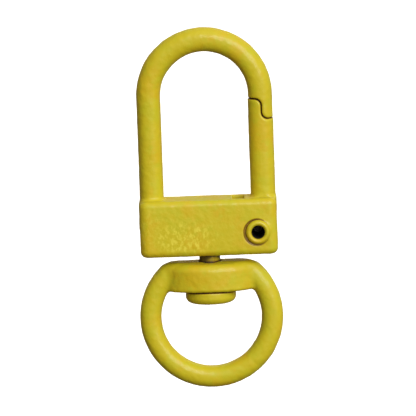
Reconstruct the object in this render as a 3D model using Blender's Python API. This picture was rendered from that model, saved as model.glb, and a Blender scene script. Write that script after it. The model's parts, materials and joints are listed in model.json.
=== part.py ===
"""Swivel snap hook: a die-cast U-shaped hook with a sprung gate, on a swivelling eye ring.

Frame: metres, +Z up along the swivel axis. The origin is the hang point, at the top of the inside
of the arch. The gate is on the +X side and the front of the hook faces -Y.
Every length below is given in millimetres and turned to metres by MM where a mesh is made.
"""

import math

import bmesh
import bpy
from mathutils import Vector

MM = 0.001

# Hook body: a round-section arch that grows out of a rectangular block
ARCH_WIDTH = 12.3
ROD_WIDTH = 2.18
ROD_DEPTH = 2.5
SECTION_POWER = 2.3  # 2 is an ellipse, more is squarer
LEG_LENGTH = 9.36
BLOCK_WIDTH = 12.45
BLOCK_HEIGHT = 5.1
BLOCK_DEPTH = 4.6
BLOCK_EDGE = 0.45

# Slot in the block, open at the right and above the gate. It holds the gate's root, the spring and the
# inner end of the swivel rivet. Its levels are measured from the block's underside.
SLOT_WIDTH = 2.75
SLOT_LEFT = -1.4
SLOT_FLOOR = 1.3
SLOT_ROOF = 4.6
MOUTH_LEFT = 2.25
WELL_LEFT = 2.4
WELL_FLOOR = 0.45

# Gate and its pivot, the pivot measured from the block's middle and underside
GATE_INNER = 3.92
GATE_OUTER = 6.18
PIVOT_X = 4.45
PIVOT_HEIGHT = 2.1
HUB_RADIUS = 1.43
HUB_THICKNESS = 2.4
HEEL_RADIUS = 1.75
GATE_SWING = 25.0
PAD_X = 3.3
PAD_TOP = 4.7

# S-shaped joint between the arch's nose and the gate, measured from the arch's centre
JOINT_X = 5.12
JOINT_INNER_DROP = 0.33
JOINT_OUTER_DROP = 2.13
JOINT_CURVE = 0.6
JOINT_GAP = 0.16

# Pivot rivet: semi-tubular, rolled over at the front in a shallow spot face, with a low domed head at the back
SPOT_FACE_RADIUS = 1.55
SPOT_FACE_DEPTH = 0.15
PIVOT_SHANK_RADIUS = 0.9
PIVOT_RIM_RADIUS = 1.25
PIVOT_RIM_HEIGHT = 0.4
PIVOT_BORE_RADIUS = 0.6
PIVOT_BORE_DEPTH = 3.2
PIVOT_HEAD_RADIUS = 1.5
PIVOT_HEAD_HEIGHT = 0.35
PIVOT_HEAD_EDGE = 0.1

# Gate spring: compression spring lying along X in a blind pocket
SPRING_HEIGHT = 3.75
SPRING_OUTER_RADIUS = 0.8
SPRING_WIRE = 0.26
SPRING_TURNS = 11
SPRING_END_PITCH = 0.29
POCKET_RADIUS = 0.88
POCKET_LEFT = -3.6

# Eye ring, and the swivel rivet that it turns on
EYE_RADIUS = 5.56
EYE_WIRE_WIDTH = 1.96
EYE_WIRE_DEPTH = 2.2
EYE_GAP = 0.77
EYE_BAR_HEIGHT = 2.55
EYE_CENTRE_DROP = 5.8
BOSS_HALF_LENGTH = 4.1
BOSS_HALF_DEPTH = 2.4
BOSS_EDGE = 0.6
SWIVEL_SHANK_RADIUS = 0.95
SWIVEL_HEAD_RADIUS = 2.3
SWIVEL_HEAD_HEIGHT = 1.1
SWIVEL_HEAD_ROUND = 0.42
SWIVEL_INNER_RADIUS = 1.2
SWIVEL_INNER_HEIGHT = 0.5

# Clearances
HOLE_CLEARANCE = 0.06  # radial, between a shank and its hole
SEAT_GAP = 0.05  # between faces that rest on each other

# Levels worked out from the sizes above
ARCH_CENTRE_RADIUS = (ARCH_WIDTH - ROD_WIDTH) / 2
ARCH_Z = ROD_WIDTH - ARCH_WIDTH / 2
BLOCK_TOP = ARCH_Z - LEG_LENGTH
BLOCK_BOTTOM = BLOCK_TOP - BLOCK_HEIGHT
PIVOT_Z = BLOCK_BOTTOM + PIVOT_HEIGHT
SPRING_Z = BLOCK_BOTTOM + SPRING_HEIGHT
EYE_TOP = BLOCK_BOTTOM - EYE_GAP
EYE_BAR_BOTTOM = EYE_TOP - EYE_BAR_HEIGHT
EYE_Z = BLOCK_BOTTOM - EYE_CENTRE_DROP
OVERCUT = 1.0  # how far a cutter runs past the faces it cuts

# Facets
RING_SIDES = 18
ARCH_STEPS = 20
EYE_STEPS = 44
LATHE_STEPS = 28
WIRE_SIDES = 6
TURN_STEPS = 12
EDGE_SEGMENTS = 3
SHARP_ANGLE = 40.0  # edges sharper than this stay edges when shaded or bevelled


# ---------------------------------------------------------------- outlines

def arc(centre, radius, start, end, steps):
    """Points on an arc, both ends included, angles in degrees anticlockwise from +X."""
    angles = [math.radians(start + (end - start) * i / steps) for i in range(steps + 1)]
    return [(centre[0] + radius * math.cos(a), centre[1] + radius * math.sin(a)) for a in angles]


def superellipse(width, depth, sides):
    """Closed cross-section between an ellipse and a rectangle."""
    points = []
    for i in range(sides):
        a = 2 * math.pi * i / sides
        c, s = math.cos(a), math.sin(a)
        u = width / 2 * math.copysign(abs(c) ** (2 / SECTION_POWER), c)
        v = depth / 2 * math.copysign(abs(s) ** (2 / SECTION_POWER), s)
        points.append((u, v))
    return points


def joint_curve(shift):
    """The S of the gate joint in XZ, from the inner side outwards, moved by shift along +X and +Z."""
    x = JOINT_X + shift
    top = ARCH_Z - JOINT_INNER_DROP + shift
    low = ARCH_Z - JOINT_OUTER_DROP + shift
    upper = arc((x - JOINT_CURVE, top - JOINT_CURVE), JOINT_CURVE, 90, 0, 5)
    lower = arc((x + JOINT_CURVE, low + JOINT_CURVE), JOINT_CURVE, 180, 270, 5)
    return [(GATE_INNER - OVERCUT, top), *upper, *lower, (GATE_OUTER + OVERCUT, low)]


def gate_root_outline():
    """The part of the gate inside the block: spring pad, hub round the pivot and the heel that stops it."""
    pivot = (PIVOT_X, PIVOT_Z)
    pad_angle = math.degrees(math.acos((PAD_X - PIVOT_X) / HUB_RADIUS))
    heel_drop = PIVOT_HEIGHT - WELL_FLOOR - SEAT_GAP
    heel_angle = 180 + math.degrees(math.asin(heel_drop / HEEL_RADIUS)) - GATE_SWING
    heel = arc(pivot, HEEL_RADIUS, heel_angle, heel_angle, 1)[0]
    inset = 0.1  # keeps the sides of this part inside the rod that it joins
    top = BLOCK_BOTTOM + PAD_TOP
    return [
        (GATE_INNER + inset, top),
        (PAD_X, top - inset),
        *arc(pivot, HUB_RADIUS, pad_angle, heel_angle - 18, 7),
        heel,
        *arc(pivot, HUB_RADIUS, heel_angle + 22, 360, 9),
        (GATE_OUTER - inset, PIVOT_Z + HUB_RADIUS),
        (GATE_OUTER - inset, top),
    ]


# ---------------------------------------------------------------- meshes and modifiers

def new_object(name, bm):
    """An object from a bmesh whose points are in millimetres."""
    bmesh.ops.recalc_face_normals(bm, faces=bm.faces)
    bmesh.ops.scale(bm, vec=(MM, MM, MM), verts=bm.verts)
    mesh = bpy.data.meshes.new(name)
    bm.to_mesh(mesh)
    bm.free()
    obj = bpy.data.objects.new(name, mesh)
    bpy.context.scene.collection.objects.link(obj)
    return obj


def set_origin(obj, point):
    """Moves the object's origin to a point in millimetres, leaving its shape where it is."""
    place = Vector(point) * MM
    for vertex in obj.data.vertices:
        vertex.co -= place
    obj.location = place


def finish(obj, material):
    obj.data.materials.append(material)
    obj.data.shade_smooth()
    obj.data.set_sharp_from_angle(angle=math.radians(SHARP_ANGLE))
    return obj


def tube(name, rings, closed=False):
    """A skin over rings of points, capped at both ends or closed on itself."""
    bm = bmesh.new()
    loops = [[bm.verts.new(p) for p in ring] for ring in rings]
    sides = len(loops[0])
    pairs = list(zip(loops, loops[1:]))
    if closed:
        pairs.append((loops[-1], loops[0]))
    for a, b in pairs:
        for i in range(sides):
            j = (i + 1) % sides
            bm.faces.new((a[i], a[j], b[j], b[i]))
    if not closed:
        bm.faces.new(loops[0])
        bm.faces.new(loops[-1])
    return new_object(name, bm)


def plate(name, outline, low, high, flat="Y"):
    """An outline extruded from low to high, along Y with the outline in XZ, or along Z with it in XY."""
    bm = bmesh.new()
    if flat == "Y":
        loop = [bm.verts.new((u, low, v)) for u, v in outline]
        step = Vector((0, high - low, 0))
    else:
        loop = [bm.verts.new((u, v, low)) for u, v in outline]
        step = Vector((0, 0, high - low))
    face = bm.faces.new(loop)
    made = bmesh.ops.extrude_face_region(bm, geom=[face])["geom"]
    bmesh.ops.translate(bm, vec=step, verts=[g for g in made if isinstance(g, bmesh.types.BMVert)])
    return new_object(name, bm)


def lathe(name, profile, centre, axis):
    """A closed profile of (radius, distance along the axis), spun about X, Y or Z through centre."""
    bm = bmesh.new()
    along = Vector([float(a == axis) for a in "XYZ"])
    across = Vector([float(a == {"X": "Z", "Y": "X", "Z": "X"}[axis]) for a in "XYZ"])
    middle = Vector(centre)
    verts = [bm.verts.new(middle + across * r + along * d) for r, d in profile]
    edges = [bm.edges.new(pair) for pair in zip(verts, verts[1:])]
    bmesh.ops.spin(
        bm, geom=verts + edges, cent=middle, axis=along, angle=2 * math.pi, steps=LATHE_STEPS,
        use_merge=True,
    )
    bmesh.ops.remove_doubles(bm, verts=bm.verts, dist=1e-4)
    return new_object(name, bm)


def cylinder(name, centre, axis, radius, low, high):
    return lathe(name, [(0, low), (radius, low), (radius, high), (0, high)], centre, axis)


def box(name, low, high):
    return plate(
        name, [(low[0], low[2]), (high[0], low[2]), (high[0], high[2]), (low[0], high[2])],
        low[1], high[1],
    )


def round_edges(obj, radius):
    bevel = obj.modifiers.new("rounded edges", "BEVEL")
    bevel.width = radius * MM
    bevel.segments = EDGE_SEGMENTS
    bevel.limit_method = "ANGLE"
    bevel.angle_limit = math.radians(SHARP_ANGLE)


def combine(obj, operation, *others):
    """Boolean modifiers on obj. The other objects become hidden helpers."""
    for other in others:
        other.hide_render = True
        other.display_type = "WIRE"
        modifier = obj.modifiers.new(f"{operation} {other.name}", "BOOLEAN")
        modifier.operation = operation
        modifier.solver = "EXACT"
        modifier.object = other


def painted(name, colour, roughness, metallic):
    material = bpy.data.materials.new(name)
    material.use_nodes = True
    shader = material.node_tree.nodes["Principled BSDF"]
    shader.inputs["Base Color"].default_value = (*colour, 1)
    shader.inputs["Roughness"].default_value = roughness
    shader.inputs["Metallic"].default_value = metallic
    return material


# ---------------------------------------------------------------- the pieces

def arch_rings():
    """Cross-sections along the arch, from inside the block up the left leg, over, and down to the nose."""
    section = superellipse(ROD_WIDTH, ROD_DEPTH, RING_SIDES)
    foot = BLOCK_BOTTOM + BLOCK_HEIGHT / 2
    nose = ARCH_Z - JOINT_OUTER_DROP - OVERCUT
    stations = [(180, foot - ARCH_Z)]
    stations += [(180 - 180 * i / ARCH_STEPS, 0) for i in range(ARCH_STEPS + 1)]
    stations.append((0, nose - ARCH_Z))
    rings = []
    for degrees, drop in stations:
        a = math.radians(degrees)
        out = Vector((math.cos(a), 0, math.sin(a)))
        middle = out * ARCH_CENTRE_RADIUS + Vector((0, 0, ARCH_Z + drop))
        rings.append([middle + out * u + Vector((0, v, 0)) for u, v in section])
    return rings


def make_hook_body(paint):
    body = tube("hook_body", arch_rings())

    half = BLOCK_WIDTH / 2, BLOCK_DEPTH / 2
    block = box("block", (-half[0], -half[1], BLOCK_BOTTOM), (half[0], half[1], BLOCK_TOP))
    round_edges(block, BLOCK_EDGE)

    below = [(GATE_OUTER + OVERCUT, BLOCK_TOP), (GATE_INNER - OVERCUT, BLOCK_TOP)]
    nose_cut = plate("nose_cut", joint_curve(JOINT_GAP / 2) + below, -half[1], half[1])
    slot_outline = [
        (SLOT_LEFT, BLOCK_BOTTOM + SLOT_FLOOR),
        (WELL_LEFT, BLOCK_BOTTOM + SLOT_FLOOR),
        (WELL_LEFT, BLOCK_BOTTOM + WELL_FLOOR),
        (half[0] + OVERCUT, BLOCK_BOTTOM + WELL_FLOOR),
        (half[0] + OVERCUT, BLOCK_TOP + OVERCUT),
        (MOUTH_LEFT, BLOCK_TOP + OVERCUT),
        (MOUTH_LEFT, BLOCK_BOTTOM + SLOT_ROOF),
        (SLOT_LEFT, BLOCK_BOTTOM + SLOT_ROOF),
    ]
    slot = plate("slot", slot_outline, -SLOT_WIDTH / 2, SLOT_WIDTH / 2)
    pocket = cylinder("pocket", (0, 0, SPRING_Z), "X", POCKET_RADIUS, POCKET_LEFT, 0)
    reach = half[1] + OVERCUT
    pivot_hole = cylinder(
        "pivot_hole", (PIVOT_X, 0, PIVOT_Z), "Y", PIVOT_SHANK_RADIUS + HOLE_CLEARANCE, -reach, reach
    )
    swivel_hole = cylinder(
        "swivel_hole", (0, 0, BLOCK_BOTTOM), "Z", SWIVEL_SHANK_RADIUS + HOLE_CLEARANCE,
        -OVERCUT, SLOT_FLOOR + OVERCUT,
    )
    combine(body, "DIFFERENCE", nose_cut)
    combine(body, "UNION", block)
    spot_face = cylinder(
        "spot_face", (PIVOT_X, 0, PIVOT_Z), "Y", SPOT_FACE_RADIUS, -reach, SPOT_FACE_DEPTH - half[1]
    )
    combine(body, "DIFFERENCE", slot, pocket, pivot_hole, spot_face, swivel_hole)
    return finish(body, paint)


def make_gate(paint):
    section = superellipse(GATE_OUTER - GATE_INNER, ROD_DEPTH, RING_SIDES)
    middle = (GATE_INNER + GATE_OUTER) / 2
    foot = BLOCK_BOTTOM + SPRING_HEIGHT
    levels = (foot, ARCH_Z)
    gate = tube("gate", [[(middle + u, v, z) for u, v in section] for z in levels])

    above = [(GATE_OUTER + OVERCUT, ARCH_Z + OVERCUT), (GATE_INNER - OVERCUT, ARCH_Z + OVERCUT)]
    tip_cut = plate("tip_cut", joint_curve(-JOINT_GAP / 2) + above, -BLOCK_DEPTH, BLOCK_DEPTH)
    root = plate("gate_root", gate_root_outline(), -HUB_THICKNESS / 2, HUB_THICKNESS / 2)
    hole = cylinder(
        "gate_hole", (PIVOT_X, 0, PIVOT_Z), "Y", PIVOT_SHANK_RADIUS + HOLE_CLEARANCE,
        -BLOCK_DEPTH, BLOCK_DEPTH,
    )
    combine(gate, "DIFFERENCE", tip_cut)
    combine(gate, "UNION", root)
    combine(gate, "DIFFERENCE", hole)
    return finish(gate, paint)


def make_pivot_rivet(steel):
    front = SPOT_FACE_DEPTH - BLOCK_DEPTH / 2 - SEAT_GAP
    back = BLOCK_DEPTH / 2 + SEAT_GAP
    rim_middle = (PIVOT_BORE_RADIUS + PIVOT_RIM_RADIUS) / 2
    rim_half = (PIVOT_RIM_RADIUS - PIVOT_BORE_RADIUS) / 2
    rolled = [
        (rim_middle + rim_half * math.cos(a), front - PIVOT_RIM_HEIGHT * math.sin(a))
        for a in (math.pi * i / 8 for i in range(9))
    ]
    dome_height = PIVOT_HEAD_HEIGHT - PIVOT_HEAD_EDGE
    dome = [
        (PIVOT_HEAD_RADIUS * math.cos(a), back + PIVOT_HEAD_EDGE + dome_height * math.sin(a))
        for a in (math.pi / 2 * i / 5 for i in range(5))
    ]
    bore_end = front + PIVOT_BORE_DEPTH
    profile = [
        (0, bore_end + PIVOT_BORE_RADIUS / 2),
        (PIVOT_BORE_RADIUS, bore_end),
        *reversed(rolled),
        (PIVOT_SHANK_RADIUS, front),
        (PIVOT_SHANK_RADIUS, back),
        (PIVOT_HEAD_RADIUS, back),
        *dome,
        (0, back + PIVOT_HEAD_HEIGHT),
    ]
    return finish(lathe("pivot_rivet", profile, (PIVOT_X, 0, PIVOT_Z), "Y"), steel)


def make_gate_spring(steel):
    """Helix along X with closed ends, as a tube of round wire."""
    coil = SPRING_OUTER_RADIUS - SPRING_WIRE / 2
    left = POCKET_LEFT + SEAT_GAP + SPRING_WIRE / 2
    right = PAD_X - SEAT_GAP - SPRING_WIRE / 2
    open_pitch = (right - left - 2 * SPRING_END_PITCH) / (SPRING_TURNS - 2)
    section = superellipse(SPRING_WIRE, SPRING_WIRE, WIRE_SIDES)
    rings = []
    for i in range(SPRING_TURNS * TURN_STEPS + 1):
        turn = i / TURN_STEPS
        start = min(turn, 1)
        end = max(turn - (SPRING_TURNS - 1), 0)
        x = left + SPRING_END_PITCH * (start + end) + open_pitch * (turn - start - end)
        a = 2 * math.pi * turn
        out = Vector((0, math.cos(a), math.sin(a)))
        middle = Vector((x, 0, SPRING_Z)) + out * coil
        rings.append([middle + out * u + Vector((v, 0, 0)) for u, v in section])
    return finish(tube("gate_spring", rings), steel)


def make_swivel_eye(paint):
    section = superellipse(EYE_WIRE_WIDTH, EYE_WIRE_DEPTH, RING_SIDES)
    rings = []
    for i in range(EYE_STEPS):
        a = 2 * math.pi * (i + 0.5) / EYE_STEPS
        out = Vector((math.cos(a), 0, math.sin(a)))
        middle = Vector((0, 0, EYE_Z)) + out * EYE_RADIUS
        rings.append([middle + out * u + Vector((0, v, 0)) for u, v in section])
    eye = tube("swivel_eye", rings, closed=True)

    boss_outline = [
        (BOSS_HALF_LENGTH * math.cos(a), BOSS_HALF_DEPTH * math.sin(a))
        for a in (2 * math.pi * i / EYE_STEPS for i in range(EYE_STEPS))
    ]
    boss = plate("boss", boss_outline, EYE_BAR_BOTTOM, EYE_TOP, flat="Z")
    round_edges(boss, BOSS_EDGE)
    reach = EYE_RADIUS + EYE_WIRE_WIDTH
    above = box("above", (-reach, -reach, EYE_TOP), (reach, reach, EYE_TOP + reach))
    hole = cylinder(
        "eye_hole", (0, 0, EYE_TOP), "Z", SWIVEL_SHANK_RADIUS + HOLE_CLEARANCE,
        -EYE_BAR_HEIGHT - OVERCUT, OVERCUT,
    )
    combine(eye, "DIFFERENCE", above)
    combine(eye, "UNION", boss)
    combine(eye, "DIFFERENCE", hole)
    return finish(eye, paint)


def make_swivel_rivet(steel):
    """Factory head inside the block, shank through block and eye, and the formed head inside the ring."""
    inner_low = BLOCK_BOTTOM + SLOT_FLOOR + SEAT_GAP
    head_top = EYE_BAR_BOTTOM - SEAT_GAP
    head_low = head_top - SWIVEL_HEAD_HEIGHT
    small = 0.15
    profile = [
        (0, head_low),
        *arc(
            (SWIVEL_HEAD_RADIUS - SWIVEL_HEAD_ROUND, head_low + SWIVEL_HEAD_ROUND),
            SWIVEL_HEAD_ROUND, -90, 0, 4,
        ),
        *arc((SWIVEL_HEAD_RADIUS - small, head_top - small), small, 0, 90, 2),
        (SWIVEL_SHANK_RADIUS, head_top),
        (SWIVEL_SHANK_RADIUS, inner_low),
        (SWIVEL_INNER_RADIUS, inner_low),
        *arc((SWIVEL_INNER_RADIUS - small, inner_low + SWIVEL_INNER_HEIGHT - small), small, 0, 90, 2),
        (0, inner_low + SWIVEL_INNER_HEIGHT),
    ]
    return finish(lathe("swivel_rivet", profile, (0, 0, 0), "Z"), steel)


def main():
    for obj in list(bpy.data.objects):
        bpy.data.objects.remove(obj)

    paint = painted("yellow_paint", (0.60, 0.49, 0.03), 0.38, 0.0)
    painted_steel = painted("painted_rivet", (0.60, 0.49, 0.03), 0.42, 0.0)
    spring_steel = painted("spring_steel", (0.42, 0.41, 0.39), 0.32, 1.0)

    make_hook_body(paint)
    gate = make_gate(paint)
    make_pivot_rivet(painted_steel)
    make_gate_spring(spring_steel)
    eye = make_swivel_eye(paint)
    make_swivel_rivet(painted_steel)

    set_origin(gate, (PIVOT_X, 0, PIVOT_Z))
    set_origin(eye, (0, 0, EYE_TOP))


main()
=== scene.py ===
"""Looks of the swivel snap hook: die-cast zinc under semi-gloss yellow paint, with steel rivets and spring.

Each solid piece is written as a field, the distance in millimetres from any point to its surface, below zero
inside. Fields make the soft fillets and the paint-rounded edges of a small casting. skin() turns a field into
a fine mesh, ripple() gives it the slight waviness of casting and paint, and the masks worked out from the
fields tell the materials where the creases and the worn edges are. The paint is darkened in the creases as
painted shade with some dirt, and bright grains on the block's front are painted glints.
"""

import json
import math

import bpy
import numpy as np
from mathutils import Matrix, Vector


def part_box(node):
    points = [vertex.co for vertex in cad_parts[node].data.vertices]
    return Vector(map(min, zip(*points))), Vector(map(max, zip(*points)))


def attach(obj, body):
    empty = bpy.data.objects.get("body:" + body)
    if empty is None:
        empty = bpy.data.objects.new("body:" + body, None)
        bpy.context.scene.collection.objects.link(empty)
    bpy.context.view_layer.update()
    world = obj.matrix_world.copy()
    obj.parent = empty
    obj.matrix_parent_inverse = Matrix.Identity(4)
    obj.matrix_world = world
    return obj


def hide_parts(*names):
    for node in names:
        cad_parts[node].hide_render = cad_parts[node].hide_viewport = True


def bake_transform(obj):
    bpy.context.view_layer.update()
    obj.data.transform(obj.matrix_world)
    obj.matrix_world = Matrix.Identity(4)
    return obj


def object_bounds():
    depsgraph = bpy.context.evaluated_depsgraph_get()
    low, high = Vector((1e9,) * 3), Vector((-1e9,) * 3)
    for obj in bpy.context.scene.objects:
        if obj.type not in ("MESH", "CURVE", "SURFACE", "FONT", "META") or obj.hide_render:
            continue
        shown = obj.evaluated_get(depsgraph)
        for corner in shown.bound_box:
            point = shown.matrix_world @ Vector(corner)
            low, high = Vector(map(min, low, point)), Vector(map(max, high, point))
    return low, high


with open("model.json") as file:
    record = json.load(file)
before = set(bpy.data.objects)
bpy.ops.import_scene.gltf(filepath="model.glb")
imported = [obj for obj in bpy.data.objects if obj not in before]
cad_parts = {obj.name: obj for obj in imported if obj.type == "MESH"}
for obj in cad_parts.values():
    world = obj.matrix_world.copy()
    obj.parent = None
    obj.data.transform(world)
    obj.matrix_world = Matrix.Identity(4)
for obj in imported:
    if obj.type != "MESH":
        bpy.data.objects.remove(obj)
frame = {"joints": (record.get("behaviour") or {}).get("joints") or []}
cad_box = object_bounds()

MM = 0.001


# ---------------------------------------------------------------- places, from the frame

def corners(node):
    """Lowest and highest corner of a CAD node, in millimetres."""
    return [np.array(corner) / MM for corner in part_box(node)]


def joint_place(name):
    joint = next(j for j in frame["joints"] if j["name"] == name)
    return np.array(joint["pos_m"]) / MM


BODY_LOW, BODY_HIGH = corners("hook_body")
EYE_LOW, EYE_HIGH = corners("swivel_eye")
PIN_LOW, PIN_HIGH = corners("pivot_rivet")
STUD_LOW, STUD_HIGH = corners("swivel_rivet")
COIL_LOW, COIL_HIGH = corners("gate_spring")
PIVOT = joint_place("gate_pivot")

# Hook body
ROD_WIDTH = BODY_HIGH[2]  # the frame's origin is at the underside of the arch's crown
ROD_DEPTH = 2.5
ROD_POWER = 2.3
ARCH_RADIUS = 5.06  # to the rod's middle
ARCH_Z = -(ARCH_RADIUS - ROD_WIDTH / 2)
BLOCK_TOP = ARCH_Z - 9.36
BLOCK_BOTTOM = BODY_LOW[2]
BLOCK_EDGE = 0.55
BLOCK_END_EDGE = 0.80
BLOCK_DOME_X = 0.08  # the front and back are slightly domed by the thickness of the paint
BLOCK_DOME_Z = 0.04
BLOCK_DOME_MOST = 0.3  # keeps the field even far outside the block
LEG_FILLET = 0.32
SLOT_WIDTH = 2.75
SLOT_LEFT = -1.4
SLOT_FLOOR = BLOCK_BOTTOM + 1.3
SLOT_ROOF = BLOCK_BOTTOM + 4.6
MOUTH_LEFT = 2.25
MOUTH_HALF_WIDTH = SLOT_WIDTH / 2 - 0.075  # its lips are thicker than the slot's walls, with paint
WELL_LEFT = 2.4
WELL_FLOOR = BLOCK_BOTTOM + 0.45
BEYOND = 2.0  # how far a cut runs past the faces that it opens
SPOT_RADIUS = 1.20
SPOT_DEPTH = 0.15
SPOT_SHIFT = (-0.09, -0.03)  # it was milled a little off the rivet's axis
SPOT_SLANT = 0.07  # and at a slant, so it fades out on the right
SPOT_START = 1.1  # how far left of the rivet's axis it has its full depth
SPOT_LEAST = 0.02
PAINT_EDGE = 0.12  # radius that the paint gives to a cut edge
SHADE_AND_DIRT_REACH = 0.5  # how far into the gate's joint and the slot the painted shade and dirt reach
MOUTH_LESS_SHADE_REACH = 0.15  # the painted shade and dirt are lighter near the gate's mouth, as far as this outside it
MOUTH_SHADE_SHARE = 0.25  # where this share of them stays
PAINT_FILL = 0.36  # paint that filled the corner between the block and the rivet's rim, on the right
PAINT_FILL_START = 0.35  # share of it above and below the rivet's axis
PAINT_FILL_GROWTH = 0.7  # and how that grows with each millimetre to the right
COLLAR_INSET = 0.12  # the ring of paint that the fill joins the block to, inside the rim
COLLAR_FRONT = BODY_LOW[1] - 0.1

# S-shaped joint between nose and gate
JOINT_X = 5.12
JOINT_TOP = ARCH_Z - 0.41
JOINT_LOW = ARCH_Z - 2.21
JOINT_CURVE = 0.6
JOINT_GAP = 0.05
JOINT_EDGE = 0.20  # rounding of its edges at the front and back
JOINT_SIDE_EDGE = 0.06  # and at the sides
JOINT_LEAN = 0.12  # how far the step's face leans towards the gate, from the middle plane outwards

# Gate
GATE_INNER = 3.92
GATE_OUTER = 6.18
PAD_X = COIL_HIGH[0] + 0.06
PAD_LOW = BLOCK_BOTTOM + 2.95
PAD_HIGH = BLOCK_BOTTOM + 4.7
SHOULDER_TOP = BLOCK_TOP
SHOULDER_OUTER = GATE_OUTER - 0.04
ARM_OUTER = GATE_OUTER - 0.1
SHOULDER_EDGE = 0.06
HUB_RADIUS = 1.43
HUB_THICKNESS = 2.4
HEEL_ANGLE = math.radians(221)
HEEL_REACH = 1.68
HEEL_HALF_WIDTH = 0.4
HEEL_EDGE = 0.25

# Rivets: sizes are taken from the frame's boxes where a box gives them
PIN_SHANK = 0.9
PIN_RIM = 1.12
PIN_BORE = 0.55
PIN_BORE_END = 0.9  # along Y
PIN_BORE_EDGE = 0.2
PIN_FRONT = BODY_LOW[1] + 0.15  # where the rolled rim starts, along Y
PIN_RIM_BASE = 0.16  # thickness of the flat ring below it
PIN_DOME_POWER = 2.4
PIN_DOME_LIFT = 0.1  # straight side of the domed head
PIN_HEAD = (PIN_HIGH[0] - PIN_LOW[0]) / 2
RIVET_EDGE = 0.05
RIVET_OVERLAP = 0.1  # how far a shank runs into the heads at its ends
STUD_SHANK = 0.95
STUD_HEAD = STUD_HIGH[0]
STUD_HEAD_HEIGHT = 1.1
STUD_HEAD_LOW_EDGE = 0.6
STUD_HEAD_TOP_EDGE = 0.15
STUD_INNER = 1.2
STUD_INNER_HEIGHT = 0.5
STUD_INNER_EDGE = 0.12
STUD_FILLET = 0.04
HOLE_CLEARANCE = 0.06

# Eye
EYE_TOP = EYE_HIGH[2]
EYE_WIRE = 1.96
EYE_DEPTH = 2.2
EYE_RADIUS = EYE_HIGH[0] - EYE_WIRE / 2
EYE_Z = EYE_LOW[2] + EYE_HIGH[0]
BAR_BOTTOM = EYE_TOP - 2.55
BAR_EDGE = 0.3
BOSS_LENGTH = 4.1
BOSS_DEPTH = EYE_HIGH[1]
BOSS_TOP_EDGE = 0.75
EYE_FILLET = 0.32
HOLE_EDGE = 0.1

# Gate spring
COIL_RADIUS = (COIL_HIGH[1] - COIL_LOW[1]) / 2
COIL_WIRE = 0.26
COIL_TURNS = 11  # with the closed turn at each end
COIL_END_PITCH = COIL_WIRE + 0.03


# ---------------------------------------------------------------- fields

def join(a, b, radius):
    """Both shapes, with a fillet in the corner between them."""
    fillet = np.hypot(np.maximum(radius - a, 0), np.maximum(radius - b, 0))
    return np.maximum(radius, np.minimum(a, b)) - fillet


def trim(a, b, radius):
    """What both shapes hold, with a rounded edge between them."""
    edge = np.hypot(np.maximum(radius + a, 0), np.maximum(radius + b, 0))
    return np.minimum(-radius, np.maximum(a, b)) + edge


def oval(u, v, half_u, half_v, power=2.0):
    """A bar of superelliptical section, where u and v run across the bar."""
    a, b = np.abs(u) / half_u, np.abs(v) / half_v
    k = np.maximum((a**power + b**power) ** (1 / power), 1e-6)
    steepness = np.hypot(a ** (power - 1) / half_u, b ** (power - 1) / half_v) / k ** (power - 1)
    return (k - 1) / np.maximum(steepness, 1 / max(half_u, half_v))


def box(x, y, z, low, high, radius=0.0):
    """A box with rounded edges."""
    outside, inside = 0.0, None
    for value, a, b in zip((x, y, z), low, high):
        over = np.abs(value - (a + b) / 2) - (b - a) / 2 + radius
        outside = outside + np.maximum(over, 0) ** 2
        inside = over if inside is None else np.maximum(inside, over)
    return np.sqrt(outside) + np.minimum(inside, 0) - radius


def joint_region(x, y, z, side):
    """The S joint: side 1 holds the gate's part, below it, and side -1 the nose's part, above it."""
    shift = -side * JOINT_GAP / 2
    step = side * (x - JOINT_X + JOINT_LEAN * (1 - np.abs(y) * 2 / ROD_DEPTH) - shift)
    top = side * (z - JOINT_TOP - shift)
    low = side * (z - JOINT_LOW - shift)
    if side > 0:
        return join(trim(step, top, JOINT_CURVE), low, JOINT_CURVE)
    return join(trim(step, low, JOINT_CURVE), top, JOINT_CURVE)


def joint_edge(y):
    return JOINT_SIDE_EDGE + (JOINT_EDGE - JOINT_SIDE_EDGE) * np.clip(np.abs(y) * 3 / ROD_DEPTH, 0, 1)


def arch_field(x, y, z):
    """The left leg, the arch and the right side, uncut."""
    across = np.hypot(x, np.maximum(z - ARCH_Z, 0)) - ARCH_RADIUS
    rod = oval(across, y, ROD_WIDTH / 2, ROD_DEPTH / 2, ROD_POWER)
    return np.maximum(rod, (BLOCK_TOP + BLOCK_BOTTOM) / 2 - z)


def block_field(x, y, z):
    """The block, without its holes."""
    middle = (BLOCK_TOP + BLOCK_BOTTOM) / 2
    dome = BLOCK_DOME_X * (x / BODY_HIGH[0]) ** 2 + BLOCK_DOME_Z * ((z - middle) / (BLOCK_TOP - middle)) ** 2
    face = np.abs(y) - BODY_HIGH[1] + np.minimum(dome, BLOCK_DOME_MOST)
    block = trim(np.abs(x) - BODY_HIGH[0], face, BLOCK_END_EDGE)
    return trim(block, np.abs(z - middle) - (BLOCK_TOP - middle), BLOCK_EDGE)


def mouth_field(x, y, z):
    """The opening in the block's top that the gate swings in."""
    low = (MOUTH_LEFT, -MOUTH_HALF_WIDTH, SLOT_FLOOR)
    high = (BODY_HIGH[0] + BEYOND, MOUTH_HALF_WIDTH, BLOCK_TOP + BEYOND)
    return box(x, y, z, low, high, PAINT_EDGE)


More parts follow.
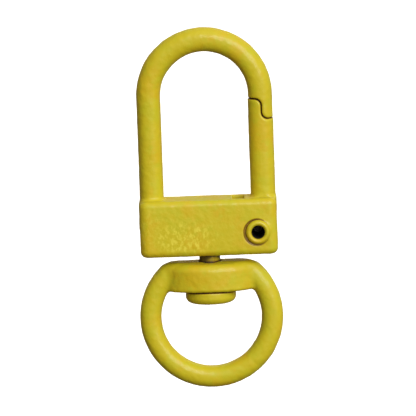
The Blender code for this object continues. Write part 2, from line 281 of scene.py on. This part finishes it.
def hook_body_field(x, y, z):
    rod = trim(arch_field(x, y, z), np.minimum(joint_region(x, y, z, -1), x), joint_edge(y))
    body = join(rod, block_field(x, y, z), LEG_FILLET)
    side, beyond = SLOT_WIDTH / 2, BODY_HIGH[0] + BEYOND
    slot = box(x, y, z, (SLOT_LEFT, -side, SLOT_FLOOR), (beyond, side, SLOT_ROOF), PAINT_EDGE)
    mouth = mouth_field(x, y, z)
    well = box(x, y, z, (WELL_LEFT, -side, WELL_FLOOR), (beyond, side, SLOT_ROOF), PAINT_EDGE)
    pin_distance = np.hypot(x - PIVOT[0], z - PIVOT[2])
    pin_hole = pin_distance - PIN_SHANK - HOLE_CLEARANCE
    spot_distance = np.hypot(x - PIVOT[0] - SPOT_SHIFT[0], z - PIVOT[2] - SPOT_SHIFT[1])
    slanted = SPOT_DEPTH - SPOT_SLANT * (x - PIVOT[0] + SPOT_START)
    spot_floor = BODY_LOW[1] + np.maximum(slanted, SPOT_LEAST)
    spot = trim(spot_distance - SPOT_RADIUS, y - spot_floor, PAINT_EDGE / 2)
    stud_hole = np.maximum(np.hypot(x, y) - STUD_SHANK - HOLE_CLEARANCE, z - SLOT_ROOF)
    hollow = np.minimum(np.minimum(slot, mouth), np.minimum(well, stud_hole))
    body = trim(body, -hollow, PAINT_EDGE)
    body = trim(body, -spot, PAINT_EDGE)
    collar = np.maximum(pin_distance - PIN_RIM + COLLAR_INSET, np.maximum(COLLAR_FRONT - y, y + side))
    fill = PAINT_FILL * np.clip(PAINT_FILL_START + PAINT_FILL_GROWTH * (x - PIVOT[0]), 0, 1)
    body = join(body, collar, fill)
    return trim(body, -pin_hole, PAINT_EDGE / 2)


def gate_field(x, y, z):
    middle, half = (GATE_INNER + GATE_OUTER) / 2, (GATE_OUTER - GATE_INNER) / 2
    rod = oval(x - middle, y, half, ROD_DEPTH / 2, ROD_POWER)
    rod = trim(rod, joint_region(x, y, z, 1), joint_edge(y))
    rod = np.maximum(rod, (PAD_LOW + PAD_HIGH) / 2 - z)
    half_depth = ROD_DEPTH / 2
    low, high = (PAD_X, -half_depth, PAD_LOW), (SHOULDER_OUTER, half_depth, SHOULDER_TOP)
    shoulder = box(x, y, z, low, high, SHOULDER_EDGE)
    rod = np.maximum(join(rod, shoulder, LEG_FILLET), np.abs(y) - half_depth)

    u, w = x - PIVOT[0], z - PIVOT[2]
    hub = np.hypot(u, w) - HUB_RADIUS
    arm = box(x, 0, z, (PAD_X, -1, PAD_LOW), (ARM_OUTER, 1, PAD_HIGH), PAINT_EDGE)
    heel_across = u * math.sin(HEEL_ANGLE) - w * math.cos(HEEL_ANGLE)
    heel_along = u * math.cos(HEEL_ANGLE) + w * math.sin(HEEL_ANGLE)
    heel_low, heel_high = (-HEEL_HALF_WIDTH, -1, 0), (HEEL_HALF_WIDTH, 1, HEEL_REACH)
    heel = box(heel_across, 0, heel_along, heel_low, heel_high, HEEL_EDGE)
    root = join(join(hub, arm, LEG_FILLET), heel, PAINT_EDGE)
    root = trim(root, np.abs(y) - HUB_THICKNESS / 2, PAINT_EDGE)
    hole = np.hypot(u, w) - PIN_SHANK - HOLE_CLEARANCE
    return trim(join(rod, root, PAINT_EDGE), -hole, PAINT_EDGE / 2)


def pivot_rivet_field(x, y, z):
    r = np.hypot(x - PIVOT[0], z - PIVOT[2])
    middle, half = (PIN_RIM + PIN_BORE) / 2, (PIN_RIM - PIN_BORE) / 2
    rim = oval(r - middle, y - PIN_FRONT, half, PIN_FRONT - PIN_LOW[1])
    base = np.maximum(r - PIN_RIM, np.abs(y - PIN_FRONT - PIN_RIM_BASE / 2) - PIN_RIM_BASE / 2)
    rim = np.minimum(np.maximum(rim, y - PIN_FRONT), base)
    back = BODY_HIGH[1]
    dome_start = back + PIN_DOME_LIFT
    dome = oval(r, y - dome_start, PIN_HEAD, PIN_HIGH[1] - dome_start, PIN_DOME_POWER)
    dome = trim(dome, back - y, RIVET_EDGE)
    shank = np.maximum(r - PIN_SHANK, np.maximum(PIN_FRONT - RIVET_OVERLAP - y, y - dome_start))
    bore = trim(r - PIN_BORE, y - PIN_BORE_END, PIN_BORE_EDGE)
    return trim(np.minimum(np.minimum(rim, shank), dome), -bore, RIVET_EDGE)


def swivel_rivet_field(x, y, z):
    r = np.hypot(x, y)
    head_top = STUD_LOW[2] + STUD_HEAD_HEIGHT
    head = trim(r - STUD_HEAD, STUD_LOW[2] - z, STUD_HEAD_LOW_EDGE)
    head = trim(head, z - head_top, STUD_HEAD_TOP_EDGE)
    inner_low = STUD_HIGH[2] - STUD_INNER_HEIGHT
    inner = trim(r - STUD_INNER, np.maximum(inner_low - z, z - STUD_HIGH[2]), STUD_INNER_EDGE)
    shank_low, shank_high = STUD_LOW[2] + 2 * RIVET_OVERLAP, STUD_HIGH[2] - RIVET_OVERLAP
    shank = np.maximum(r - STUD_SHANK, np.maximum(shank_low - z, z - shank_high))
    return join(np.minimum(head, inner), shank, STUD_FILLET)


def swivel_eye_field(x, y, z):
    across = np.hypot(x, z - EYE_Z) - EYE_RADIUS
    ring = oval(across, y, EYE_WIRE / 2, EYE_DEPTH / 2, ROD_POWER)
    ring = trim(ring, z - EYE_TOP, BAR_EDGE)
    boss = oval(x, y, BOSS_LENGTH, BOSS_DEPTH)
    boss = trim(boss, z - EYE_TOP, BOSS_TOP_EDGE)
    boss = trim(boss, BAR_BOTTOM - z, BAR_EDGE)
    eye = join(ring, boss, EYE_FILLET)
    hole = np.maximum(np.hypot(x, y) - STUD_SHANK - HOLE_CLEARANCE, EYE_Z - z)
    return trim(eye, -hole, HOLE_EDGE)


# ---------------------------------------------------------------- from fields to meshes

def skin(field, low, high, step):
    """Points and four-sided faces of the surface where the field is zero, one point in each crossed cell."""
    axes = [np.arange(a - 2.5 * step, b + 2.5 * step, step) for a, b in zip(low, high)]
    grid = np.meshgrid(*axes, indexing="ij", sparse=True)
    value = np.broadcast_to(field(*grid), [len(a) for a in axes])
    inside = value < 0
    cells = tuple(n - 1 for n in value.shape)

    total = np.zeros((*cells, 3))
    count = np.zeros(cells)
    faces = []
    index = np.full(cells, -1)
    crossings = []
    for axis in range(3):
        near = [slice(None)] * 3
        far = [slice(None)] * 3
        near[axis], far[axis] = slice(None, -1), slice(1, None)
        crossed = np.argwhere(inside[tuple(near)] != inside[tuple(far)])
        ends = crossed.copy()
        ends[:, axis] += 1
        a, b = value[tuple(crossed.T)], value[tuple(ends.T)]
        point = np.stack([axes[k][crossed[:, k]] for k in range(3)], axis=1)
        point[:, axis] += step * a / (a - b)
        others = [k for k in range(3) if k != axis]
        around = []
        for back_u, back_v in ((0, 0), (1, 0), (1, 1), (0, 1)):
            cell = crossed.copy()
            cell[:, others[0]] -= back_u
            cell[:, others[1]] -= back_v
            np.add.at(total, tuple(cell.T), point)
            np.add.at(count, tuple(cell.T), 1)
            around.append(cell)
        outward = (a < 0) == (axis != 1)
        crossings.append((around, outward))
    used = count > 0
    index[used] = np.arange(used.sum())
    points = total[used] / count[used][:, None]
    for around, outward in crossings:
        quads = np.stack([index[tuple(cell.T)] for cell in around], axis=1)
        quads[~outward] = quads[~outward][:, ::-1]
        faces.append(quads)
    return points, np.concatenate(faces)


def slope(field, points, reach=0.01):
    """The field's gradient, which points out of the surface."""
    parts = []
    for axis in range(3):
        offset = np.zeros(3)
        offset[axis] = reach
        ahead, behind = field(*(points + offset).T), field(*(points - offset).T)
        parts.append((ahead - behind) / (2 * reach))
    return np.stack(parts, axis=1)


def settle(field, points, rounds=2):
    """Moves points onto the surface along the field's slope."""
    for _ in range(rounds):
        gradient = slope(field, points)
        squared = np.maximum((gradient**2).sum(axis=1), 0.05)
        distance = np.clip(field(*points.T), -0.1, 0.1)
        points = points - gradient * (distance / squared)[:, None]
    return points


def relax(points, faces, rounds):
    """Evens out the spacing of the points by moving each towards the middle of its neighbours."""
    pairs = np.concatenate([faces[:, [k, (k + 1) % 4]] for k in range(4)])
    for _ in range(rounds):
        total = np.zeros_like(points)
        count = np.zeros(len(points))
        np.add.at(total, pairs[:, 0], points[pairs[:, 1]])
        np.add.at(count, pairs[:, 0], 1)
        points = points + 0.5 * (total / count[:, None] - points)
    return points


def ripple(points, wavelength, height, seed, waves=90):
    """Smooth random relief: plane waves of about one wavelength in random directions."""
    rng = np.random.default_rng(seed)
    direction = rng.normal(size=(waves, 3))
    direction /= np.linalg.norm(direction, axis=1)[:, None]
    turns = direction * (2 * math.pi / (wavelength * rng.uniform(0.75, 1.35, (waves, 1))))
    phase = rng.uniform(0, 2 * math.pi, waves)
    return height * math.sqrt(2 / waves) * np.cos(points @ turns.T + phase).sum(axis=1)


def creases(points, normals, fields, reaches):
    """How closed in each point is, 0 to 1: the distance to the nearest surface, a little way out."""
    closed = np.zeros(len(points))
    for reach in reaches:
        out = (points + normals * reach).T
        nearest = np.min([field(*out) for field in fields], axis=0)
        closed += np.clip(1 - nearest / reach, 0, 1)
    return closed / len(reaches)


def edges(points, normals, field, reaches):
    """How sharply the surface bends outwards at each point, 0 to 1."""
    bend = np.zeros(len(points))
    for reach in reaches:
        bend += np.clip(1 + field(*(points - normals * reach).T) / reach, 0, 1)
    return bend / len(reaches)


def mesh_object(name, points, faces):
    mesh = bpy.data.meshes.new(name)
    mesh.vertices.add(len(points))
    mesh.vertices.foreach_set("co", (points * MM).astype(np.float32).ravel())
    mesh.loops.add(faces.size)
    mesh.loops.foreach_set("vertex_index", faces.astype(np.int32).ravel())
    mesh.polygons.add(len(faces))
    mesh.polygons.foreach_set("loop_start", np.arange(0, faces.size, 4, dtype=np.int32))
    mesh.update(calc_edges=True)
    mesh.validate()
    mesh.shade_smooth()
    piece = bpy.data.objects.new(name, mesh)
    bpy.context.scene.collection.objects.link(piece)
    return piece


def mask(piece, name, values):
    """Stores one number for each point, for the materials to read."""
    attribute = piece.data.attributes.new(name, "FLOAT", "POINT")
    attribute.data.foreach_set("value", values.astype(np.float32))


def casting(name, node, field, step, relief):
    """A piece skinned from its field, in place of a CAD node. relief is how wavy its surface is."""
    low, high = corners(node)
    points, faces = skin(field, low, high, step)
    points = settle(field, points)
    points = relax(points, faces, 3)
    points = settle(field, points)
    normals = slope(field, points)
    normals /= np.maximum(np.linalg.norm(normals, axis=1), 1e-6)[:, None]
    # How closed in each point is becomes painted shade with some dirt. It fades deeper inside the joint and
    # the slot, and near the gate's mouth.
    shade_and_dirt = creases(points, normals, FIELDS.values(), CREASE_REACHES)
    depth = -np.minimum(arch_field(*points.T), block_field(*points.T))
    shade_and_dirt *= np.clip((SHADE_AND_DIRT_REACH - depth) / (SHADE_AND_DIRT_REACH - JOINT_EDGE), 0, 1)
    shade_and_dirt *= np.clip(mouth_field(*points.T) / MOUTH_LESS_SHADE_REACH, MOUTH_SHADE_SHARE, 1)
    edge = edges(points, normals, field, EDGE_REACHES)
    waviness = sum(ripple(points, *wave) for wave in RIPPLES)
    points = points + normals * (waviness * relief)[:, None]
    piece = mesh_object(name, points, faces)
    mask(piece, "shade_and_dirt", shade_and_dirt)
    mask(piece, "edge", edge)
    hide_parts(node)
    return piece


def spring_mesh(name):
    """The gate spring: round wire wound about X, with closed ends."""
    sides, steps = 14, 40
    radius = COIL_RADIUS - COIL_WIRE / 2
    left, right = COIL_LOW[0] + COIL_WIRE / 2, COIL_HIGH[0] - COIL_WIRE / 2
    pitch = (right - left - 2 * COIL_END_PITCH) / (COIL_TURNS - 2)
    turn = np.arange(COIL_TURNS * steps + 1) / steps
    start = np.minimum(turn, 1)
    end = np.maximum(turn - (COIL_TURNS - 1), 0)
    along = left + COIL_END_PITCH * (start + end) + pitch * (turn - start - end)
    angle = 2 * math.pi * turn
    centre_z = (COIL_LOW[2] + COIL_HIGH[2]) / 2
    around = 2 * math.pi * np.arange(sides) / sides
    reach = radius + COIL_WIRE / 2 * np.cos(around)[None, :]
    x = along[:, None] + COIL_WIRE / 2 * np.sin(around)[None, :]
    y = reach * np.cos(angle)[:, None]
    z = centre_z + reach * np.sin(angle)[:, None]
    points = np.stack([x, y, z], axis=2).reshape(-1, 3)
    ring = np.arange(len(turn) - 1)[:, None] * sides
    side = np.arange(sides)[None, :]
    following = (side + 1) % sides
    corners_of = [ring + side, ring + following, ring + sides + following, ring + sides + side]
    faces = np.stack([np.broadcast_to(c, (len(turn) - 1, sides)) for c in corners_of], axis=2)
    return mesh_object(name, points, faces.reshape(-1, 4)[:, ::-1])


# ---------------------------------------------------------------- materials

class Nodes:
    """Short forms for building a material's node tree."""

    def __init__(self, name):
        self.material = bpy.data.materials.new(name)
        self.material.use_nodes = True
        self.tree = self.material.node_tree
        self.shader = self.tree.nodes["Principled BSDF"]
        self.place = self.tree.nodes.new("ShaderNodeTexCoord").outputs["Object"]

    def link(self, value, socket):
        if isinstance(value, bpy.types.NodeSocket):
            self.tree.links.new(value, socket)
        else:
            socket.default_value = value

    def noise(self, per_metre, detail=2.0, roughness=0.5, stretch=(1, 1, 1)):
        mapping = self.tree.nodes.new("ShaderNodeMapping")
        self.link(self.place, mapping.inputs["Vector"])
        mapping.inputs["Scale"].default_value = stretch
        node = self.tree.nodes.new("ShaderNodeTexNoise")
        self.link(mapping.outputs["Vector"], node.inputs["Vector"])
        node.inputs["Scale"].default_value = per_metre
        node.inputs["Detail"].default_value = detail
        node.inputs["Roughness"].default_value = roughness
        return node.outputs["Fac"]

    def attribute(self, name):
        node = self.tree.nodes.new("ShaderNodeAttribute")
        node.attribute_name = name
        return node.outputs["Fac"]

    def remap(self, value, start, end, low=0.0, high=1.0):
        node = self.tree.nodes.new("ShaderNodeMapRange")
        node.interpolation_type = "SMOOTHSTEP"
        self.link(value, node.inputs["Value"])
        for name, number in (("From Min", start), ("From Max", end), ("To Min", low), ("To Max", high)):
            node.inputs[name].default_value = number
        return node.outputs["Result"]

    def coordinates(self):
        node = self.tree.nodes.new("ShaderNodeSeparateXYZ")
        self.link(self.place, node.inputs["Vector"])
        return node.outputs

    def vector_math(self, operation, vector, numbers=None):
        node = self.tree.nodes.new("ShaderNodeVectorMath")
        node.operation = operation
        self.link(vector, node.inputs[0])
        if numbers is not None:
            node.inputs[1].default_value = numbers
        return node.outputs["Value" if operation == "LENGTH" else "Vector"]

    def near(self, point, reach):
        """1 close to a point, falling to 0 at reach millimetres from it along each axis."""
        offset = self.vector_math("SUBTRACT", self.place, [c * MM for c in point])
        scaled = self.vector_math("DIVIDE", offset, [c * MM for c in reach])
        return self.remap(self.vector_math("LENGTH", scaled), 0.45, 1, 1, 0)

    def math(self, operation, a, b=0.0):
        node = self.tree.nodes.new("ShaderNodeMath")
        node.operation = operation
        self.link(a, node.inputs[0])
        self.link(b, node.inputs[1])
        return node.outputs["Value"]

    def mix(self, share, first, second):
        node = self.tree.nodes.new("ShaderNodeMix")
        node.data_type = "RGBA"
        self.link(share, node.inputs["Factor"])
        for value, socket in ((first, node.inputs[6]), (second, node.inputs[7])):
            self.link((*value, 1) if isinstance(value, tuple) else value, socket)
        return node.outputs[2]

    def bump(self, height, distance, strength=1.0, under=None):
        node = self.tree.nodes.new("ShaderNodeBump")
        node.inputs["Strength"].default_value = strength
        node.inputs["Distance"].default_value = distance
        self.link(height, node.inputs["Height"])
        if under is not None:
            self.link(under, node.inputs["Normal"])
        return node.outputs["Normal"]


PAINT = (0.585, 0.496, 0.012)
PAINT_WARM = (0.625, 0.452, 0.009)
PAINT_GREEN = (0.530, 0.512, 0.015)
PAINT_THIN = (0.680, 0.600, 0.050)
# The bright colour of the painted glints.
PAINT_GLINT = (0.770, 0.685, 0.060)
# The next two colours are painted shade with some dirt. They go where the paint is closed in: in creases,
# corners and the gaps between pieces.
PAINT_SHADE_AND_DIRT = (0.240, 0.112, 0.004)
GRIME_AND_SHADE = (0.090, 0.030, 0.004)
BARE_STEEL = (0.060, 0.052, 0.045)
DARK_STEEL = tuple(c / 2 for c in BARE_STEEL)
WIRE_DARK = (0.30, 0.29, 0.27)
WIRE_LIGHT = (0.52, 0.51, 0.49)
PAPER_DARK = (0.90, 0.90, 0.89)
PAPER_LIGHT = (0.93, 0.93, 0.92)
GLINT_PATCH = (-2.1, BODY_LOW[1], BLOCK_BOTTOM + 1.75)  # where the painted glints of the orange peel are strongest, on the block's front
GLINT_REACH = (3.6, 2.0, 1.9)


def sprayed_yellow(name):
    """Nodes of the paint: orange peel, slightly uneven colour, painted glints, painted shade with some dirt
    in the creases, and thinner on edges.
    """
    n = Nodes(name)
    warm = n.remap(n.noise(420, 3), 0.44, 0.64)
    green = n.remap(n.noise(650, 3, 0.6), 0.46, 0.66)
    colour = n.mix(n.math("MULTIPLY", warm, 0.8), PAINT, PAINT_WARM)
    colour = n.mix(n.math("MULTIPLY", green, 0.7), colour, PAINT_GREEN)
    # Painted glints: bright grains stand for highlights on the orange peel. They are faint all over and
    # strongest in a patch on the block's front.
    faint_glints = n.remap(n.noise(210, 1), 0.55, 0.75, 0, 0.5)
    glint_area = n.math("MAXIMUM", faint_glints, n.near(GLINT_PATCH, GLINT_REACH))
    glints = n.math("MULTIPLY", n.remap(n.noise(2700, 2, 0.55, (1.3, 1, 0.8)), 0.46, 0.64), glint_area)
    colour = n.mix(n.math("MULTIPLY", glints, 0.7), colour, PAINT_GLINT)
    speckle = n.remap(n.noise(5200, 2, 0.7), 0.60, 0.74)
    colour = n.mix(n.math("MULTIPLY", speckle, 0.22), colour, PAINT_THIN)
    thin = n.math("MULTIPLY", n.remap(n.attribute("edge"), 0.30, 0.75), n.remap(n.noise(1500), 0.35, 0.7))
    colour = n.mix(n.math("MULTIPLY", thin, 0.35), colour, PAINT_THIN)
    # Painted shade with some dirt: the paint turns darker and browner where it is closed in, in creases,
    # corners and the gaps between the pieces.
    shade_and_dirt = n.attribute("shade_and_dirt")
    colour = n.mix(n.remap(shade_and_dirt, 0.14, 0.52, 0, 0.9), colour, PAINT_SHADE_AND_DIRT)
    colour = n.mix(n.remap(shade_and_dirt, 0.55, 0.9, 0, 0.95), colour, GRIME_AND_SHADE)
    n.link(colour, n.shader.inputs["Base Color"])

    gloss = n.remap(n.noise(1700, 3, 0.6), 0.3, 0.7, 0.42, 0.56)
    n.link(n.math("ADD", gloss, n.remap(shade_and_dirt, 0.2, 0.7, 0, 0.25)), n.shader.inputs["Roughness"])
    orange_peel = n.bump(n.noise(2000, 2.0, 0.5), 0.00004)
    n.link(n.bump(n.noise(7500, 2, 0.6), 0.000006, under=orange_peel), n.shader.inputs["Normal"])
    n.shader.inputs["Specular IOR Level"].default_value = 0.35
    n.shader.inputs["Coat Weight"].default_value = 0.25
    n.shader.inputs["Coat Roughness"].default_value = 0.18
    return n


def rivet_paint(name, bare):
    """Paint over a steel rivet. bare(nodes) gives where the steel shows, 0 to 1."""
    n = sprayed_yellow(name)
    painted = n.shader.inputs["Base Color"].links[0].from_socket
    share = bare(n)
    steel = n.mix(n.noise(2600, 3), BARE_STEEL, DARK_STEEL)
    n.link(n.mix(share, painted, steel), n.shader.inputs["Base Color"])
    n.link(n.math("MULTIPLY", share, 0.7), n.shader.inputs["Metallic"])
    return n.material


def in_the_bore(n):
    """Inside the pivot rivet's bore: close to its axis, and not on the head at the back."""
    x, y, z = n.coordinates()
    u = n.math("SUBTRACT", x, float(PIVOT[0] * MM))
    w = n.math("SUBTRACT", z, float(PIVOT[2] * MM))
    distance = n.math("SQRT", n.math("ADD", n.math("MULTIPLY", u, u), n.math("MULTIPLY", w, w)))
    near = n.remap(distance, (PIN_BORE + 0.02) * MM, (PIN_BORE + 0.10) * MM, 1, 0)
    before_the_head = n.remap(y, 1.5 * MM, 2.0 * MM, 1, 0)
    return n.math("MULTIPLY", near, before_the_head)


def on_the_shank(n):
    """On the swivel rivet's shank and on the head inside the block."""
    z = n.coordinates()[2]
    start = float(STUD_LOW[2] + STUD_HEAD_HEIGHT) * MM
    above = n.remap(z, start - 0.05 * MM, start + 0.1 * MM)
    return n.math("MULTIPLY", above, n.remap(n.noise(900, 2), 0.42, 0.56, 0, 0.8))


def spring_steel(name):
    """Drawn wire with a slightly uneven, oily grey sheen."""
    n = Nodes(name)
    tone = n.noise(1300, 3, 0.6)
    n.link(n.mix(tone, WIRE_DARK, WIRE_LIGHT), n.shader.inputs["Base Color"])
    n.link(n.remap(n.noise(3100, 2), 0.3, 0.7, 0.22, 0.42), n.shader.inputs["Roughness"])
    n.link(n.bump(n.noise(9000, 2), 0.000004), n.shader.inputs["Normal"])
    n.shader.inputs["Metallic"].default_value = 1.0
    return n.material


def floor_paper(name):
    n = Nodes(name)
    n.link(n.mix(n.noise(40, 3), PAPER_DARK, PAPER_LIGHT), n.shader.inputs["Base Color"])
    n.shader.inputs["Roughness"].default_value = 0.9
    n.shader.inputs["Specular IOR Level"].default_value = 0.1
    n.shader.inputs["Emission Color"].default_value = (1, 1, 1, 1)
    n.shader.inputs["Emission Strength"].default_value = 0.5
    return n.material


# ---------------------------------------------------------------- the pieces

FIELDS = {
    "hook_body": hook_body_field,
    "gate": gate_field,
    "pivot_rivet": pivot_rivet_field,
    "swivel_rivet": swivel_rivet_field,
    "swivel_eye": swivel_eye_field,
}
STEPS = {"hook_body": 0.1, "gate": 0.08, "pivot_rivet": 0.045, "swivel_rivet": 0.06, "swivel_eye": 0.09}
BODIES = {
    "hook_body": "hook",
    "gate": "gate",
    "pivot_rivet": "hook",
    "swivel_rivet": "hook",
    "swivel_eye": "eye",
}
CREASE_REACHES = (0.1, 0.25, 0.5)
EDGE_REACHES = (0.15, 0.4)
RIPPLES = ((2.6, 0.30, 3), (0.9, 0.22, 5), (0.5, 0.14, 7))  # wavelength in millimetres, height and seed
RELIEF = {"hook_body": 0.02, "gate": 0.015, "pivot_rivet": 0.008, "swivel_rivet": 0.012, "swivel_eye": 0.02}


def make_pieces():
    paint = sprayed_yellow("yellow_paint_look").material
    looks = {
        "pivot_rivet": (rivet_paint("pivot_rivet_look", in_the_bore), "painted_rivet"),
        "swivel_rivet": (rivet_paint("swivel_rivet_look", on_the_shank), "painted_rivet"),
    }
    coarser = 1.0
    for node, field in FIELDS.items():
        piece = casting(f"{node}_skin", node, field, STEPS[node] * coarser, RELIEF[node])
        look, slot = looks.get(node, (paint, "yellow_paint"))
        piece.data.materials.append(look)
        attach(piece, BODIES[node])

    spring = spring_mesh("gate_spring_wire")
    spring.data.materials.append(spring_steel("spring_steel_look"))
    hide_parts("gate_spring")
    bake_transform(spring)


# ---------------------------------------------------------------- floor, light and camera

CAMERA_ELEVATION = math.radians(7.5)
CAMERA_ROLL = math.radians(2.0)
CAMERA_LENS = 300.0
CAMERA_DISTANCE = 0.315
FLOOR_DROP = 0.35
KEY_LIGHT = {"direction": (0.42, -0.90, 0.50), "spread": 46, "strength": 2.55}
TOP_LIGHT = {"direction": (0.30, -0.25, 1.0), "spread": 50, "strength": 0.2}
BACK_LIGHT = {"direction": (0.10, 0.95, 0.35), "spread": 50, "strength": 2.0}
FLOOR_SIZE = 40.0
WORLD_DIM = 0.12
WORLD_BRIGHT = 0.50
WORLD_LEAN = 0.55  # how much more light comes from the right, as a share of that from above
WORLD_LOW_TINT = (1.0, 0.75, 0.38, 1)
WHITE = (1, 1, 1, 1)


def aim(thing, place, target):
    thing.location = place
    thing.rotation_euler = (Vector(target) - Vector(place)).to_track_quat("-Z", "Y").to_euler()


def make_floor():
    mesh = bpy.data.meshes.new("floor")
    half = FLOOR_SIZE / 2
    z = cad_box[0].z - FLOOR_DROP
    mesh.from_pydata(
        [(-half, -half, z), (half, -half, z), (half, half, z), (-half, half, z)], [], [(0, 1, 2, 3)]
    )
    floor = bpy.data.objects.new("floor", mesh)
    bpy.context.scene.collection.objects.link(floor)
    floor.data.materials.append(floor_paper("floor_paper"))
    floor.visible_diffuse = False
    floor.visible_glossy = False
    floor.visible_shadow = False


def make_light(name, direction, spread, strength):
    """Even light over the whole table, from a round softbox that is spread degrees across."""
    data = bpy.data.lights.new(name, "SUN")
    data.angle = math.radians(spread)
    data.energy = strength
    light = bpy.data.objects.new(name, data)
    bpy.context.scene.collection.objects.link(light)
    aim(light, Vector(direction).normalized(), (0, 0, 0))
    return light


def make_world():
    """White to the camera. For lighting it is bright above and on the right, and dim and warm below."""
    world = bpy.data.worlds.new("studio")
    bpy.context.scene.world = world
    world.use_nodes = True
    tree = world.node_tree
    background = tree.nodes["Background"]

    def node(kind, inputs, **settings):
        new = tree.nodes.new(kind)
        for setting, value in settings.items():
            setattr(new, setting, value)
        for socket, value in inputs.items():
            if isinstance(value, bpy.types.NodeSocket):
                tree.links.new(value, new.inputs[socket])
            else:
                new.inputs[socket].default_value = value
        return new

    place = node("ShaderNodeTexCoord", {})
    split = node("ShaderNodeSeparateXYZ", {"Vector": place.outputs["Generated"]})
    x, z = split.outputs["X"], split.outputs["Z"]
    side = node("ShaderNodeMath", {0: x, 1: WORLD_LEAN, 2: z}, operation="MULTIPLY_ADD")
    levels = {"From Min": -0.8, "From Max": 0.9, "To Min": WORLD_DIM, "To Max": WORLD_BRIGHT}
    height = node("ShaderNodeMapRange", {"Value": side.outputs["Value"], **levels}).outputs["Result"]
    to_camera = node("ShaderNodeLightPath", {}).outputs["Is Camera Ray"]
    strength = node("ShaderNodeMix", {"Factor": to_camera, "A": height, "B": 1.0})
    tint = node("ShaderNodeMix", {6: WORLD_LOW_TINT, 7: WHITE}, data_type="RGBA")
    tree.links.new(height, tint.inputs["Factor"])
    colour = node("ShaderNodeMix", {6: tint.outputs[2], 7: WHITE}, data_type="RGBA")
    tree.links.new(to_camera, colour.inputs["Factor"])
    tree.links.new(strength.outputs["Result"], background.inputs["Strength"])
    tree.links.new(colour.outputs[2], background.inputs["Color"])


def make_camera():
    middle = (cad_box[0] + cad_box[1]) / 2
    middle.x = 0
    data = bpy.data.cameras.new("camera")
    data.lens = CAMERA_LENS
    data.clip_start = 0.01
    data.clip_end = 200
    camera = bpy.data.objects.new("camera", data)
    bpy.context.scene.collection.objects.link(camera)
    back = Vector((0, -math.cos(CAMERA_ELEVATION), math.sin(CAMERA_ELEVATION)))
    aim(camera, middle + back * CAMERA_DISTANCE, middle)
    camera.rotation_euler = (
        camera.rotation_euler.to_matrix() @ Matrix.Rotation(-CAMERA_ROLL, 3, "Z")
    ).to_euler()
    bpy.context.scene.camera = camera


make_pieces()
make_floor()
make_world()
make_camera()
make_light("key", **KEY_LIGHT)
make_light("top", **TOP_LIGHT)
make_light("back", **BACK_LIGHT).visible_glossy = False  # it lights the back without glare on the block's top
bpy.context.scene.view_settings.view_transform = "Standard"
